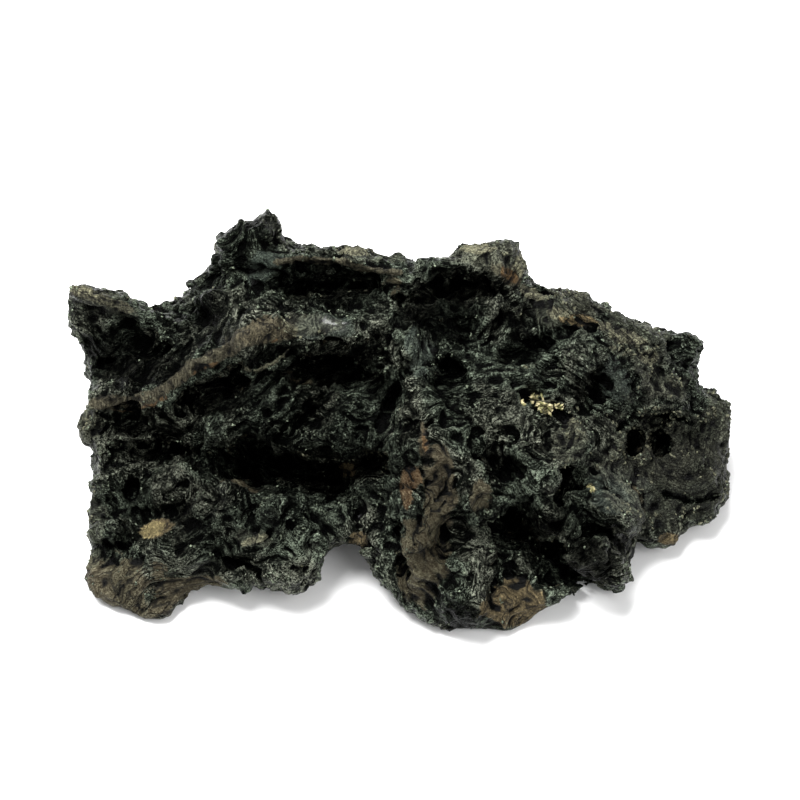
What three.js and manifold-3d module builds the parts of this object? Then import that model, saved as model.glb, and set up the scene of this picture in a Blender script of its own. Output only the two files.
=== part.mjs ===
// Rough goethite: one lump of black, glossy iron ore, grown as a single mass and broken off on all sides.
// It lies on its broad underside. Its show face looks up and forward and carries thin ledges with
// broken rims, rounded knobs, feet along the front edge, and deep hollows between them.
//
// Everything is a signed distance, negative inside the stone: masses and ledges are joined softly,
// hollows are scooped out, noise roughens the result, and the zero surface is turned into triangles
// and thinned.
import * as THREE from "three";
import { ImprovedNoise } from "three/addons/math/ImprovedNoise.js";
import { mergeVertices } from "three/addons/utils/BufferGeometryUtils.js";
import Module from "manifold-3d";

// ---- Driving dimensions, millimetres and degrees ----
const SHOW_TILT = 50; // how steeply the show face looks up above the horizon
const FACE_HEIGHT = 28; // height of the show face's centre above the table
const TAPER = 0.3; // how fast the stone narrows behind its show face
const CELL = 1.5; // grid pitch that the surface is read on
const TRIANGLES = 9400; // what the thinned surface keeps

const JOIN = 1.3; // softness of the crease where two masses meet
const SCOOP = 0.9; // softness of a hollow's rim
const WARP = 1.8; // how far the forms are pulled out of round

const rad = THREE.MathUtils.degToRad;
const noise = new ImprovedNoise();

// ---- The show face's own frame ----
// u runs to the right, v up the face, w out of it. The row frame has X right, Y back and Z up.
const tiltSin = Math.sin(rad(SHOW_TILT));
const tiltCos = Math.cos(rad(SHOW_TILT));
const rowY = (v, w) => v * tiltSin - w * tiltCos;
const rowZ = (v, w) => v * tiltCos + w * tiltSin + FACE_HEIGHT;

// ---- Outline of the stone, seen square on to the show face: [u, v] ----
const OUTLINE = [
  [-66, 28], [-60, 27.5], [-54.5, 25.5], [-49, 23.5], [-47, 24], [-41, 29.5], [-38, 32.5], [-36, 36.5],
  [-31, 39], [-28, 41], [-25, 40.8], [-23.5, 37.5], [-18.5, 35], [-7, 35.2], [-4, 33.2], [7, 32.8],
  [12.5, 35.5], [18, 36], [21, 37.5], [23.5, 36.5], [25.5, 31], [27, 27.8], [32, 26.5], [37.5, 26.2],
  [43, 22], [49, 20], [54, 18.2], [60, 17.6], [59, 11], [60, 7.4], [65.5, 4.5], [66.2, 0],
  [65, -5], [66.5, -12], [66, -16], [60.4, -21.6], [54.5, -24], [46.4, -22], [45.4, -27], [44.8, -31],
  [43.2, -33.6], [38, -31.4], [31.6, -34.4], [26, -37.4], [23, -40.2], [18, -41.2], [9.5, -40.6], [4, -38.4],
  [-4.5, -30.6], [-7.4, -25.4], [-8, -23.8], [-14, -23.8], [-14.8, -29.4], [-18.5, -32.8], [-24, -32.4],
  [-35, -31.8], [-39, -32.6], [-42, -36], [-46, -41.4], [-52, -39.6], [-58, -36], [-62, -31],
  [-60.8, -25], [-62.2, -22], [-61.4, -14], [-61, -5], [-64.4, -1.8], [-64.4, 1.6], [-61, 4.2], [-62, 8],
  [-63.5, 14], [-66, 20],
];

// ---- How far the show face stands out, before any form is added: [u, v, w] ----
const LIE = [
  [-64, 26, -17], [-48, 22, -19], [-27, 38, -13], [0, 34, -14], [20, 35, -13], [30, 26, -14],
  [58, 16, -19], [66, 2, -18], [65, -14, -17], [50, -20, -14], [-62, 8, -20], [-63, 0, -15],
  [-61, -20, -10], [-58, -32, -5], [-47, -39, -4], [-40, 12, -14], [-20, 26, -11], [-30, -20, 0],
  [-20, -28, 0], [-10, -22, -4], [5, 20, -4], [8, 0, 3], [8, -20, 5], [10, -38, 0], [25, -10, 2],
  [35, -22, 4], [42, -31, 2], [30, 8, -4], [45, 0, -9], [20, -40, -2], [-14, 12, -10], [-24, 0, -6],
  [-44, -4, -12], [-20, 19, -5],
];
const LIE_SPREAD = 8; // how far each of these heights reaches

// ---- Broken faces behind: [turned from straight back, leaning forward, distance from the middle] ----
const BREAKS = [
  [0, 8, 50], [-34, 4, 72], [28, 16, 64], [-6, 42, 69], [-80, -12, 70], [74, 14, 76],
];
const BREAK_SOFT = 5; // softness of the corner between two broken faces

// ---- Rounded masses: at [u, v], proud of the lie, radii across, up and out, turn in the face ----
const mass = (name, u, v, proud, across, up, out, turn = 0) => (
  { name, u, v, proud, across, up, out, turn });
const MASSES = [
  // left end
  mass("left_knuckle", -62.4, 0, 2, 4.6, 3.4, 6),
  mass("left_row", -54, -3.2, 2.5, 8, 2.8, 6),
  mass("left_cheek", -58.4, -15, 2, 4.5, 8.5, 6),
  mass("ringed_knob", -44.4, -12.2, 4, 7.5, 6, 7, 8),
  mass("left_jowl", -56.4, -21.4, 3, 7, 3.6, 6, 12),
  mass("basin_floor", -55, 6.6, 1, 6, 2.6, 5),
  mass("dark_knob", -43, 22.6, 1, 3.6, 3, 4),
  // front left
  mass("sparkling_slope", -44.4, -26, 2.5, 11, 6, 7, -8),
  mass("saddle", -32, -18, 2.5, 9, 6.5, 7),
  mass("boss", -20, -24, 4, 7, 9.8, 8),
  mass("boss_brow", -23, -16, 5, 6, 3, 5),
  mass("low_rim", -32, -30, 1.5, 5, 2.6, 5),
  mass("notch_wall", -10.4, -20, 1.5, 4.5, 5, 6),
  mass("brown_foot", -51, -33.4, 3, 12, 6.5, 8, -14),
  // peak and back ridge
  mass("peak", -27, 37, 2.5, 5.6, 6, 7),
  mass("peak_side", -33, 34, 2, 6, 6, 7),
  mass("slope_knobs", -32, 25, 2, 8, 6, 7, 20),
  mass("eye_knob", -21.8, 28.8, 1.5, 2.4, 2.4, 4),
  mass("ridge_left", -12, 33.8, 2, 11, 2.8, 6),
  mass("ridge_crest", 18, 33.4, 3, 8, 4, 6),
  mass("ridge_horn", 21.4, 36, 2.5, 3.6, 3.6, 5),
  // the big ledge, its lip and the curtain under it
  mass("lip", -12, 20.8, 3.5, 11, 4, 7),
  mass("band_end", -26.4, 18.6, 6, 6, 3, 6, 15),
  mass("bean", -25.6, 12.8, 6, 5, 2, 4, 10),
  mass("curtain", -27, 2.6, 4, 12, 6, 7, 18),
  mass("curtain_end", -11, 1, 5, 6, 8, 7, -18),
  mass("tan_knob", -10.4, -8.6, -3, 2.3, 2.5, 4),
  // middle
  mass("pillar", 1.6, 15, 3.5, 5, 9, 7),
  mass("pillar_foot", 5, 4, 3, 5, 6, 6),
  mass("neck_knobs", 11, 21.6, 2, 8, 3.4, 5),
  mass("brow", 21, 23, 2, 5, 4, 5),
  mass("pit_sill", 18, 7, 3, 6.5, 5.5, 6),
  mass("swirl", 17, 0, 2.5, 12, 4, 6, 6),
  mass("column_head", 6, -6, 3, 8, 7, 7),
  mass("column", 4, -18, 5, 5, 14, 8, 4),
  mass("column_side", 14, -14, 4.5, 4.5, 9, 7, 8),
  mass("column_flank", -2.5, -25, 2.5, 3.6, 9, 6, 12),
  mass("glossy_toe", 12.6, -30, 6.5, 5, 9.5, 8, -8),
  mass("tan_foot", 21.6, -35, 2, 8, 6, 7, 15),
  mass("olive_toe", 29, -33.4, 1, 5, 3.4, 5, 30),
  // arch and prow
  mass("arch", 28, -10, 5, 9, 3.6, 6, 38),
  mass("arch_root", 23, -6, 4, 5, 4, 6),
  mass("arch_drop", 23.4, -14, 3.5, 3, 3, 5),
  mass("inner_knob", 27, -20, -2, 2.6, 4, 4),
  mass("prow", 38, -17, 4, 9, 7, 8, -20),
  mass("prow_side", 37, -26, 4.5, 8, 4.5, 7, -22),
  mass("prow_tip", 42.4, -31, 3, 3.4, 3.6, 5),
  // right end
  mass("olive_lump", 33, -3, 3, 5, 5, 6),
  mass("fan", 44, 7, 2.5, 6, 6, 5),
  mass("olive_shoulder", 34, 22, 2, 7, 4.5, 6, -12),
  mass("olive_back", 44, 17, 2.5, 8, 5, 6, -15),
  mass("back_corner", 57, 15, 2, 5, 5, 6),
  mass("right_dome", 53, -13, 3, 13, 9, 7),
  mass("right_shelf", 48, 3, 2, 8, 4, 5),
  mass("right_edge", 63.6, -1, 2, 4, 7, 6),
];

// ---- Hollows: at [u, v], centre below the lie, radii across, up and out, turn in the face, lean ----
// A hollow leans up the face as it goes in, so its roof overhangs and its floor runs out gently.
const hollow = (name, u, v, deep, across, up, out, turn = 0, lean = 0.45) => (
  { name, u, v, deep, across, up, out, turn, lean });
const HOLLOWS = [
  hollow("cave", -26.4, -8.6, 5, 15, 5.6, 11.5, -6, 0.1),
  hollow("cave_throat", -15, -11, 5, 6.4, 5, 10, -30, 0.1),
  hollow("cave_right", -4.4, -8.4, 5, 5.5, 3.4, 9, 0, 0.2),
  hollow("left_slit", -45.6, -5.6, 2, 9, 1.6, 7, 0, 0.2),
  hollow("cheek_hole", -53, -12.6, -1, 2.2, 2.6, 4),
  hollow("under_lip", -13, 11.4, 2, 12, 3.8, 10, -2, 0.3),
  hollow("under_band", -34, 8.4, 1, 14, 3, 9, 26, 0.3),
  hollow("curtain_side", -1.6, 4, 0, 2.2, 7, 6, -25, 0.2),
  hollow("deep_pit", 9.4, 9.6, 1, 3.8, 4, 8, -8),
  hollow("deep_pit_side", 5, 8.4, -1, 3.6, 2, 5, 20),
  hollow("rim_cavity", -11, 25.6, 1, 11, 3, 8, -3, 0.35),
  hollow("rim_cavity_end", 2, 24.6, 1, 6, 2, 6, 8),
  hollow("crest_cavity", 10.4, 26.4, 1, 5.2, 2.6, 8),
  hollow("crest_notch", 17.6, 27.4, 0, 2.6, 2.4, 5, -35),
  hollow("brow_pit", 24.4, 14, -1, 5.6, 3, 6, 8),
  hollow("brow_pit_tail", 30, 11, -1, 4, 1.8, 5, -35),
  hollow("blue_pit", 38, 5.4, -1, 3.6, 4.6, 6, 12),
  hollow("crystal_pit", 25.4, 2, -1, 3, 1.4, 4, 12),
  hollow("twin_pit_left", 45.6, -5, 0, 2.6, 3, 6),
  hollow("twin_pit_right", 51.6, -5, 0, 2.4, 2.3, 6, 20),
  hollow("shelf_slit", 52, 0.6, -1, 4.2, 1.2, 4, 6),
  hollow("shelf_crease", 40, -7.4, -1, 5, 1.4, 4, 10),
  hollow("edge_slit", 61.6, -12.8, -1, 3.4, 1, 4),
  hollow("spot_pit", 49, -17.2, -1, 2.6, 1.8, 4, -10),
  hollow("arch_hollow", 21.6, -19.6, 4, 5.4, 5.6, 12, -15, 0.15),
  hollow("arch_gap", 31, -11.4, 1, 2.6, 6, 9, -20, 0.1),
  hollow("arch_foot", 28, -24.6, 2, 6, 4, 9, -30, 0.2),
  hollow("prow_pit", 38.4, -21.6, -1, 4.4, 1.5, 4, -8),
  hollow("under_prow", 33.6, -29.6, 2, 8, 2.5, 9, -14, 0.2),
  hollow("basin", -53.6, 11, 2, 6.6, 4.4, 8, 10),
  hollow("wing_gap", -43, 24.2, 0, 5.4, 1.8, 5, 10),
  hollow("peak_hole", -37, 27.8, -1, 2.6, 1.6, 4, 20),
  hollow("peak_foot", -37.4, 21.4, 0, 3.2, 1.6, 5, 14),
  hollow("eye", -24.4, 28.2, -1, 3, 2, 4, -20),
  hollow("column_pit", 17.6, -8, -1, 1.8, 3, 5, 12),
  hollow("column_groove", 8.6, -22, 0, 1.2, 8, 5, 6, 0),
  hollow("flank_groove", 0.4, -24, 0, 1.2, 8, 5, 14, 0),
  hollow("boss_recess", -31.6, -27.6, -1, 4, 1.3, 4, 8),
];

// ---- Thin ledges: rim points [u, v, proud], the way the plate runs back from its rim, thickness ----
const ledge = (name, thick, run, rim) => ({ name, thick, run, rim });
const LEDGES = [
  ledge("main_ledge", 3.4, [0, 7, -10], [[-61, 3, 5], [-54, 4, 6], [-47.6, 5.2, 7], [-43.4, 8.4, 7.5]]),
  ledge("ledge_rise", 3.8, [0, 7, -10], [[-43.4, 8.4, 7.5], [-35, 13, 9], [-30, 15.4, 10], [-24, 17.4, 9]]),
  ledge("ledge_lip", 3.6, [0, 7, -10], [[-24, 17.4, 7.5], [-19, 17.8, 6], [-10, 18, 7], [-3.5, 18.8, 6]]),
  ledge("left_wing", 3.4, [0, 3, -12], [[-65, 26, 3.5], [-58, 24.4, 4.5], [-51, 21.4, 4.5], [-43, 18.4, 4]]),
  ledge("back_rim", 2.8, [0, 5, -11], [[-25, 31, 4], [-18, 32.4, 5], [-8, 31, 5.5], [1, 28, 4]]),
  ledge("crest_rim", 3, [1, 5, -10], [[6, 29.6, 4], [11, 31, 5], [16, 32, 5.5], [20, 28.4, 5]]),
];

// ---- Signed distances ----
// The smaller of two distances, with the crease between them rounded over a width k.
const softMin = (a, b, k) => {
  const h = Math.max(k - Math.abs(a - b), 0) / k;
  return Math.min(a, b) - (h * h * k) / 4;
};
const softMax = (a, b, k) => -softMin(-a, -b, k);

// Distance from (u, v) to the outline, negative inside.
function outlineDistance(u, v) {
  let nearest = Infinity;
  let inside = false;
  OUTLINE.forEach(([au, av], i) => {
    const [bu, bv] = OUTLINE[(i + 1) % OUTLINE.length];
    const along = THREE.MathUtils.clamp(
      ((u - au) * (bu - au) + (v - av) * (bv - av)) / ((bu - au) ** 2 + (bv - av) ** 2), 0, 1);
    nearest = Math.min(nearest, Math.hypot(u - au - along * (bu - au), v - av - along * (bv - av)));
    if (av > v !== bv > v && u < au + ((v - av) / (bv - av)) * (bu - au)) inside = !inside;
  });
  return inside ? -nearest : nearest;
}

// How far the show face stands out at (u, v): a blend of the nearby heights in LIE.
function lieAt(u, v) {
  let sum = 0;
  let total = 0;
  for (const [lu, lv, lw] of LIE) {
    const share = Math.exp(-((u - lu) ** 2 + (v - lv) ** 2) / (2 * LIE_SPREAD ** 2)) + 1e-9;
    sum += share * lw;
    total += share;
  }
  return sum / total;
}

// A mass's outermost point stands proud of the lie; a hollow's centre lies deep below it.
function placed({ u, v, proud, deep, across, up, out, turn, lean = 0 }) {
  const w = lieAt(u, v) + (deep === undefined ? proud - out : -deep);
  return { u, v, w, across, up, out, lean, cos: Math.cos(rad(turn)), sin: Math.sin(rad(turn)) };
}

// Distance to a placed form, near enough close to its surface.
function ellipsoid(form, u, v, w) {
  const du = u - form.u;
  const dv = v - form.v + form.lean * (w - form.w);
  const x = (du * form.cos + dv * form.sin) / form.across;
  const y = (dv * form.cos - du * form.sin) / form.up;
  const z = (w - form.w) / form.out;
  const reach = Math.hypot(x, y, z);
  const slope = Math.hypot(x / form.across, y / form.up, z / form.out) || 1e-6;
  return (reach * (reach - 1)) / slope;
}

// The flat strips of a ledge, one for each two rim points.
function plates({ rim, run, thick }) {
  const back = new THREE.Vector3(...run);
  const points = rim.map(([u, v, proud]) => new THREE.Vector3(u, v, lieAt(u, v) + proud));
  return points.slice(1).map((end, i) => {
    const start = points[i];
    const along = end.clone().sub(start);
    const length = along.length();
    along.normalize();
    const inward = back.clone().addScaledVector(along, -back.dot(along));
    const depth = inward.length();
    return { start, along, length, inward: inward.normalize(), depth, half: thick / 2 };
  });
}

// Distance to one strip of a ledge, which ends in a flat broken rim.
const offset = new THREE.Vector3();
function plate({ start, along, length, inward, depth, half }, u, v, w) {
  offset.set(u, v, w).sub(start);
  offset.addScaledVector(along, -THREE.MathUtils.clamp(offset.dot(along), 0, length));
  const behindRim = offset.dot(inward);
  const offPlate = offset.addScaledVector(inward, -behindRim).length() - half;
  return softMax(offPlate, Math.max(-behindRim, behindRim - depth), 0.6);
}

const masses = MASSES.map(placed);
const hollows = HOLLOWS.map(placed);
const strips = LEDGES.flatMap(plates);

// Random number from 0 to 1 that belongs to a whole-numbered cell.
function cellRandom(i, j, k, salt) {
  let h = Math.imul(i, 374761393) ^ Math.imul(j, 668265263);
  h ^= Math.imul(k, 1274126177) ^ Math.imul(salt, 974634777);
  h = Math.imul(h ^ (h >>> 13), 1103515245);
  return ((h ^ (h >>> 16)) >>> 0) / 2 ** 32;
}

// The seed nearest to a point, one seed in each cell: how far it is, the way to it, and its own number.
const near = { square: 0, x: 0, y: 0, z: 0, i: 0, j: 0, k: 0 };
function nearestSeed(u, v, w, pitch) {
  const at = [u / pitch, v / pitch, w / pitch];
  const cell = at.map(Math.floor);
  near.square = Infinity;
  for (let i = cell[0] - 1; i <= cell[0] + 1; i++) {
    for (let j = cell[1] - 1; j <= cell[1] + 1; j++) {
      for (let k = cell[2] - 1; k <= cell[2] + 1; k++) {
        const x = at[0] - i - cellRandom(i, j, k, 1);
        const y = at[1] - j - cellRandom(i, j, k, 2);
        const z = at[2] - k - cellRandom(i, j, k, 3);
        const square = x * x + y * y + z * z;
        if (square < near.square) Object.assign(near, { square, x, y, z, i, j, k });
      }
    }
  }
  return near;
}

// Height of crowded round knobs: 1 at a knob's centre, 0 or less between knobs.
const knobs = (u, v, w, pitch) => 1 - 1.6 * nearestSeed(u, v, w, pitch).square;

// Height of broken facets, each with its own tilt and level.
function facets(u, v, w, pitch) {
  const { x, y, z, i, j, k } = nearestSeed(u, v, w, pitch);
  const own = (salt) => cellRandom(i, j, k, salt) * 2 - 1;
  return x * own(4) + y * own(5) + z * own(6) + 0.5 * own(7);
}

// Roughness that pushes the surface in or out: broad swells, crags with sharp crests, facets and knobs.
function roughness(u, v, w) {
  const swell = noise.noise(u / 15 + 3.1, v / 15, w / 15);
  const crag = 1 - 2.4 * Math.abs(noise.noise(u / 8, v / 7 + 5.7, w / 8));
  return 1.2 * swell + 0.6 * crag + 1.3 * facets(u, v, w, 7) + 0.5 * knobs(u, v, w, 5.5);
}

// Broken faces behind the show face, as the distance outside the nearest of them.
const normals = BREAKS.map(([turn, lean, reach]) => ({
  x: Math.sin(rad(turn)) * Math.cos(rad(lean)),
  y: Math.cos(rad(turn)) * Math.cos(rad(lean)),
  z: Math.sin(rad(lean)),
  reach,
}));
function broken(u, y, z) {
  let d = -99;
  for (const face of normals) d = softMax(d, u * face.x + y * face.y + z * face.z - face.reach, BREAK_SOFT);
  return d;
}

// Distance to the whole stone. edge and lie belong to the column (u, v), so they are found once for it.
function stone(u, v, w, edge, lie) {
  const y = rowY(v, w);
  const z = rowZ(v, w);
  const behind = THREE.MathUtils.clamp((lie - 8 - w) / 20, 0, 1);
  const inside = THREE.MathUtils.clamp(-edge / 5, 0.15, 1);
  const warpU = u + WARP * noise.noise(u / 7, v / 7, w / 7 + 20) * inside;
  const warpV = v + WARP * noise.noise(u / 7 + 40, v / 7, w / 7) * inside;
  const side = edge + TAPER * 20 * behind + 0.8 * noise.noise(u / 3.6, v / 3.6, w / 9);

  let d = (w - lie) * 0.8;
  for (const form of masses) d = softMin(d, ellipsoid(form, warpU, warpV, w), JOIN);
  d = softMax(d, side, 2.5);
  for (const form of hollows) d = softMax(d, -ellipsoid(form, warpU, warpV, w), SCOOP);
  for (const strip of strips) {
    d = softMin(d, plate(strip, (u + warpU) / 2, (v + warpV) / 2, w), 0.8);
  }
  d = softMax(d, side, 1);
  d = softMax(d, broken(u, y, z), 4);
  const deep = 5 * behind * noise.noise(u / 17, y / 15, z / 13 + 9);
  if (Math.abs(d) < 9) d -= roughness(u, v, w) * Math.max(inside, behind) + deep;
  const underside = 0.9 + 4 * noise.noise(u / 18, y / 16, 2.5) - z;
  return softMax(d, underside, 2);
}

// ---- Reading the zero surface on a grid, through the six tetrahedra of each cube ----
const GRID_LOW = [-71, -46, -74];
const GRID_SPAN = [143, 92, 92];
const [nu, nv, nw] = GRID_SPAN.map((span) => Math.ceil(span / CELL));
const indexOf = (i, j, k) => (k * nv + j) * nu + i;
const cellOf = (id) => [id % nu, Math.floor(id / nu) % nv, Math.floor(id / (nu * nv))];
const OUTSIDE = 5;

function sample() {
  const value = new Float64Array(nu * nv * nw).fill(OUTSIDE);
  for (let j = 1; j < nv - 1; j++) {
    for (let i = 1; i < nu - 1; i++) {
      const u = GRID_LOW[0] + i * CELL;
      const v = GRID_LOW[1] + j * CELL;
      const edge = outlineDistance(u, v);
      const lie = lieAt(u, v);
      if (edge > OUTSIDE) continue;
      for (let k = 1; k < nw - 1; k++) {
        const w = GRID_LOW[2] + k * CELL;
        if (w > lie + 14 || rowZ(v, w) < -4) continue;
        value[indexOf(i, j, k)] = stone(u, v, w, edge, lie) || 1e-6;
      }
    }
  }
  return value;
}

// Each tetrahedron walks from a cube's low corner to its high one, a step along each axis in turn.
const WALKS = [
  { axes: [0, 1, 2], leftHanded: false },
  { axes: [1, 2, 0], leftHanded: false },
  { axes: [2, 0, 1], leftHanded: false },
  { axes: [0, 2, 1], leftHanded: true },
  { axes: [2, 1, 0], leftHanded: true },
  { axes: [1, 0, 2], leftHanded: true },
];
const CORNERS = [0, 1, 2, 3];

// Whether an order of the four corners is an odd number of swaps away from 0, 1, 2, 3.
function oddOrder(order) {
  let swaps = 0;
  for (const i of CORNERS) {
    for (const j of CORNERS) if (i < j && order[i] > order[j]) swaps++;
  }
  return swaps % 2 === 1;
}

function polygonize() {
  const value = sample();
  const points = [];
  const faces = [];
  const crossings = new Map();

  // The point where the surface crosses the line between two grid points.
  const cut = (a, b) => {
    const key = Math.min(a, b) * 2 ** 24 + Math.max(a, b);
    if (!crossings.has(key)) {
      const share = THREE.MathUtils.clamp(value[a] / (value[a] - value[b]), 0.05, 0.95);
      const [from, to] = [cellOf(a), cellOf(b)];
      points.push(from.map((at, axis) => GRID_LOW[axis] + (at + share * (to[axis] - at)) * CELL));
      crossings.set(key, points.length - 1);
    }
    return crossings.get(key);
  };

  // The one or two triangles that part a tetrahedron's inner corners from its outer ones.
  const part = (ids, leftHanded) => {
    const inner = CORNERS.filter((n) => value[ids[n]] < 0);
    if (inner.length === 0 || inner.length === 4) return;
    const order = [...inner, ...CORNERS.filter((n) => value[ids[n]] >= 0)];
    const turned = oddOrder(order) !== leftHanded;
    const face = (p, q, r) => faces.push(turned ? [p, r, q] : [p, q, r]);
    const [a, b, c, d] = order.map((n) => ids[n]);
    if (inner.length === 1) face(cut(a, b), cut(a, c), cut(a, d));
    if (inner.length === 3) face(cut(a, d), cut(b, d), cut(c, d));
    if (inner.length === 2) {
      face(cut(a, c), cut(a, d), cut(b, d));
      face(cut(a, c), cut(b, d), cut(b, c));
    }
  };

  const steps = [1, nu, nu * nv];
  for (let k = 0; k < nw - 1; k++) {
    for (let j = 0; j < nv - 1; j++) {
      for (let i = 0; i < nu - 1; i++) {
        for (const { axes, leftHanded } of WALKS) {
          const ids = [indexOf(i, j, k)];
          for (const axis of axes) ids.push(ids.at(-1) + steps[axis]);
          part(ids, leftHanded);
        }
      }
    }
  }
  return { points, faces };
}

// ---- Thinning: the edge whose removal changes the surface least goes first ----
// A point's cost is the sum of squared distances to its planes, the ten numbers of a 4 by 4 matrix.
function planeCost([a, b, c, d], weight) {
  const products = [a * a, a * b, a * c, a * d, b * b, b * c, b * d, c * c, c * d, d * d];
  return products.map((product) => product * weight);
}
function costAt(q, [x, y, z]) {
  const squares = q[0] * x * x + q[4] * y * y + q[7] * z * z;
  const crossed = q[1] * x * y + q[2] * x * z + q[5] * y * z;
  const linear = q[3] * x + q[6] * y + q[8] * z;
  return squares + 2 * crossed + 2 * linear + q[9];
}

const dot = (a, b) => a[0] * b[0] + a[1] * b[1] + a[2] * b[2];
const minus = (a, b) => [a[0] - b[0], a[1] - b[1], a[2] - b[2]];

// A triangle's normal, twice its area long.
function normalOf(a, b, c) {
  const [x, y, z] = minus(b, a);
  const [s, t, r] = minus(c, a);
  return [y * r - z * t, z * s - x * r, x * t - y * s];
}

// The point that costs least for a merged pair, or the best of its ends and middle.
function bestPoint(q, a, b) {
  const middle = a.map((x, i) => (x + b[i]) / 2);
  const tries = [middle, a, b];
  const matrix = new THREE.Matrix3().set(q[0], q[1], q[2], q[1], q[4], q[5], q[2], q[5], q[7]);
  if (Math.abs(matrix.determinant()) > 1e-4) {
    const least = new THREE.Vector3(-q[3], -q[6], -q[8]).applyMatrix3(matrix.invert()).toArray();
    if (Math.hypot(...minus(least, middle)) < 2 * CELL) tries.push(least);
  }
  return tries.reduce((best, point) => (costAt(q, point) < costAt(q, best) ? point : best));
}

// A queue that gives back its cheapest entry first.
class Queue {
  entries = [];

  swap(i, j) {
    [this.entries[i], this.entries[j]] = [this.entries[j], this.entries[i]];
  }

  less(i, j) {
    return this.entries[i].price < this.entries[j].price;
  }

  push(entry) {
    this.entries.push(entry);
    let at = this.entries.length - 1;
    while (at > 0 && this.less(at, (at - 1) >> 1)) {
      this.swap(at, (at - 1) >> 1);
      at = (at - 1) >> 1;
    }
  }

  pop() {
    this.swap(0, this.entries.length - 1);
    const top = this.entries.pop();
    let at = 0;
    while (true) {
      let least = at;
      for (const child of [2 * at + 1, 2 * at + 2]) {
        if (child < this.entries.length && this.less(child, least)) least = child;
      }
      if (least === at) return top;
      this.swap(at, least);
      at = least;
    }
  }
}

function thin({ points, faces }, target) {
  const around = points.map(() => new Set());
  const cost = points.map(() => new Array(10).fill(0));
  faces.forEach((face, id) => {
    const normal = normalOf(...face.map((n) => points[n]));
    const size = Math.hypot(...normal) || 1e-12;
    const unit = normal.map((x) => x / size);
    const own = planeCost([...unit, -dot(unit, points[face[0]])], size / 2 + 1e-3);
    for (const n of face) {
      around[n].add(id);
      cost[n] = cost[n].map((x, i) => x + own[i]);
    }
  });

  const version = new Uint32Array(points.length);
  const queue = new Queue();
  const offer = (a, b) => {
    const sum = cost[a].map((x, i) => x + cost[b][i]);
    const at = bestPoint(sum, points[a], points[b]);
    const length = Math.hypot(...minus(points[a], points[b]));
    const price = costAt(sum, at) + 2e-4 * length ** 2;
    queue.push({ a, b, at, sum, price, version: version[a] + version[b] });
  };
  const neighbours = (n) => {
    const all = new Set([...around[n]].flatMap((id) => faces[id]));
    all.delete(n);
    return all;
  };
  points.forEach((_, a) => {
    for (const b of neighbours(a)) if (a < b) offer(a, b);
  });

  // Whether moving n to a new place would turn one of its triangles over or crush it.
  const turnsOver = (n, a, b, at) => [...around[n]].some((id) => {
    const face = faces[id];
    if (face.includes(a) && face.includes(b)) return false;
    const before = normalOf(...face.map((m) => points[m]));
    const after = normalOf(...face.map((m) => (m === n ? at : points[m])));
    const size = Math.hypot(...after);
    return size < 1e-3 || dot(before, after) < 0.3 * Math.hypot(...before) * size;
  });

  let left = faces.length;
  while (left > target && queue.entries.length) {
    const { a, b, at, sum, version: offered } = queue.pop();
    if (!around[a].size || !around[b].size || version[a] + version[b] !== offered) continue;
    const ring = neighbours(a);
    const other = neighbours(b);
    if (!ring.has(b) || [...ring].filter((n) => other.has(n)).length !== 2) continue;
    if (turnsOver(a, a, b, at) || turnsOver(b, a, b, at)) continue;
    for (const id of [...around[b]]) {
      if (faces[id].includes(a)) {
        for (const n of faces[id]) around[n].delete(id);
        faces[id] = null;
        left--;
      } else {
        faces[id] = faces[id].map((n) => (n === b ? a : n));
        around[a].add(id);
      }
    }
    around[b].clear();
    points[a] = at;
    cost[a] = sum;
    version[a] += 1;
    for (const n of neighbours(a)) offer(a, n);
  }
  return { points, faces: faces.filter(Boolean) };
}

// ---- The finished solid: turned into the row frame and ground flat where it touches the table ----
const wasm = await Module();
wasm.setup();

function solid(vertices, triangles) {
  return new wasm.Manifold(new wasm.Mesh({
    numProp: 3,
    vertProperties: new Float32Array(vertices),
    triVerts: new Uint32Array(triangles),
  }));
}

function solidOfStone({ points, faces }) {
  const numbers = new Map();
  const vertices = [];
  const triangles = faces.flat().map((n) => {
    if (!numbers.has(n)) {
      const [u, v, w] = points[n];
      numbers.set(n, numbers.size);
      vertices.push(u, rowY(v, w), rowZ(v, w));
    }
    return numbers.get(n);
  });
  return solid(vertices, triangles);
}

// The table the stone stands on: everything below z = 0.
function solidOfTable() {
  const box = new THREE.BoxGeometry(300, 300, 40).translate(0, 0, -20);
  box.deleteAttribute("normal");
  box.deleteAttribute("uv");
  const merged = mergeVertices(box);
  return solid(merged.getAttribute("position").array, merged.index.array);
}

const rough = solidOfStone(thin(polygonize(), TRIANGLES));
const bodies = rough.subtract(solidOfTable()).decompose();
const whole = bodies.sort((a, b) => b.volume() - a.volume())[0];

const mesh = whole.getMesh();
const geometry = new THREE.BufferGeometry();
geometry.setAttribute("position", new THREE.BufferAttribute(mesh.vertProperties, 3));
geometry.setIndex(new THREE.BufferAttribute(mesh.triVerts, 1));
geometry.computeBoundingBox();
const { min, max } = geometry.boundingBox;
geometry.translate(-(min.x + max.x) / 2, -(min.y + max.y) / 2, 0);
geometry.computeVertexNormals();

const goethite = new THREE.Mesh(
  geometry,
  new THREE.MeshStandardMaterial({ color: 0x1c1f1c, roughness: 0.35, metalness: 0.3 }),
);
goethite.name = "goethite";

const group = new THREE.Group();
group.add(goethite);
export default group;
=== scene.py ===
"""Rough goethite: one black, glossy lump with thin broken ledges, knobs, feet and deep hollows."""
import math

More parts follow.
